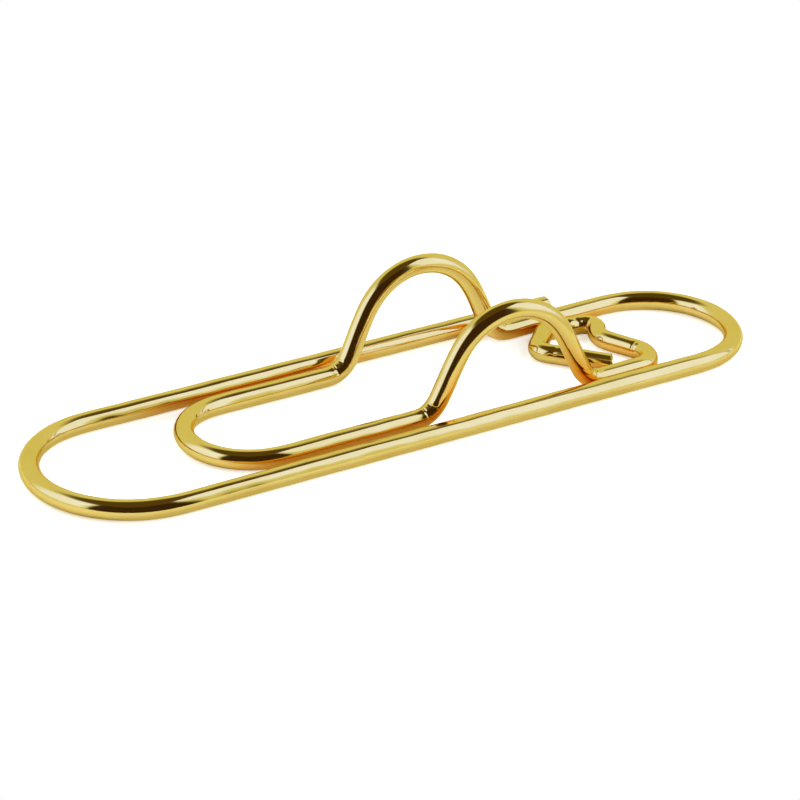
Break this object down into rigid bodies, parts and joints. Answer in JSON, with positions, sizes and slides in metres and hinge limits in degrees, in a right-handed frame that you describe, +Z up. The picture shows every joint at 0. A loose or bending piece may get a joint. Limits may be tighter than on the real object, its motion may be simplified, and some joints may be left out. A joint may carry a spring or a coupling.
{
  "type": "pen holder clip",
  "caption": "Flat bent-wire clip for a notebook cover, with raised arches that hold a pen and a small heart at the wire's inner end.",
  "frame": {"origin": "middle of the clip's outline on the surface it lies on", "axes": "+X along the clip from the nose towards the heart end, +Y across it from the front rail to the back rail, +Z up from the surface"},
  "size_m": [0.0786, 0.0214, 0.0116],
  "materials": {
    "gold_wire": "polished, gold coloured"
  },
  "bodies": {
    "outer_loop": {"outer_back_rail": "gold_wire", "left_end_bend": "gold_wire", "front_rail": "gold_wire", "right_end_bend": "gold_wire"},
    "tongue": {"back_run": "gold_wire", "back_arch_heart_foot": "gold_wire", "back_arch_heart_leg": "gold_wire", "back_arch_crown": "gold_wire", "back_arch_nose_leg": "gold_wire", "back_arch_nose_foot": "gold_wire", "tongue_back_leg": "gold_wire", "tongue_nose": "gold_wire", "tongue_front_leg": "gold_wire", "front_arch_nose_foot": "gold_wire", "front_arch_nose_leg": "gold_wire", "front_arch_crown": "gold_wire", "front_arch_heart_leg": "gold_wire", "front_arch_heart_foot": "gold_wire", "front_run": "gold_wire", "heart_first_bend": "gold_wire", "heart_lower_side": "gold_wire", "heart_lower_lobe": "gold_wire", "heart_notch_side": "gold_wire", "heart_notch": "gold_wire", "heart_upper_lobe": "gold_wire", "heart_upper_side": "gold_wire", "heart_shoulder": "gold_wire", "heart_back_slope": "gold_wire", "heart_point": "gold_wire", "heart_front_slope": "gold_wire"}
  },
  "joints": [
    {"name": "tongue_flex", "type": "hinge", "parent": "outer_loop", "child": "tongue", "pos_m": [0.02895, 0.0067, 0.002], "axis": [0, 1, 0], "range_deg": [0, 6], "stiffness_Nm_per_rad": 2}
  ]
}
